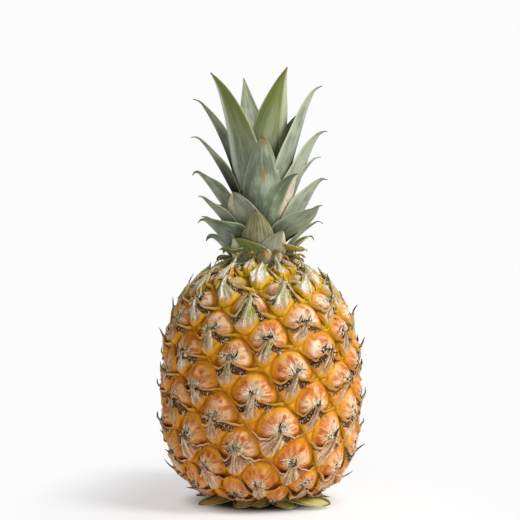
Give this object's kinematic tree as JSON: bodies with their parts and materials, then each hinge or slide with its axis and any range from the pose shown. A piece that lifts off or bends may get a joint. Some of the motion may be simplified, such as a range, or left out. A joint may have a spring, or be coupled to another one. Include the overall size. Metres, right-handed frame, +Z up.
{
  "type": "pineapple",
  "caption": "Whole fresh pineapple with its leafy crown, standing upright on its cut stem and base bracts.",
  "frame": {"origin": "centre of the stem's cut face, on the plane that the fruit stands on", "axes": "+Z up along the fruit's axis towards the crown's tip, -Y towards the front"},
  "size_m": [0.1206, 0.1207, 0.2519],
  "materials": {
    "rind": "satin, waxy orange rind with papery bracts",
    "leaf": "matte, grey-green leaf with a pale bloom",
    "stalk": "matte, olive bracts and a pale cut face"
  },
  "bodies": {
    "root": {"fruit": "rind", "crown": "leaf", "stem": "stalk"}
  },
  "joints": []
}
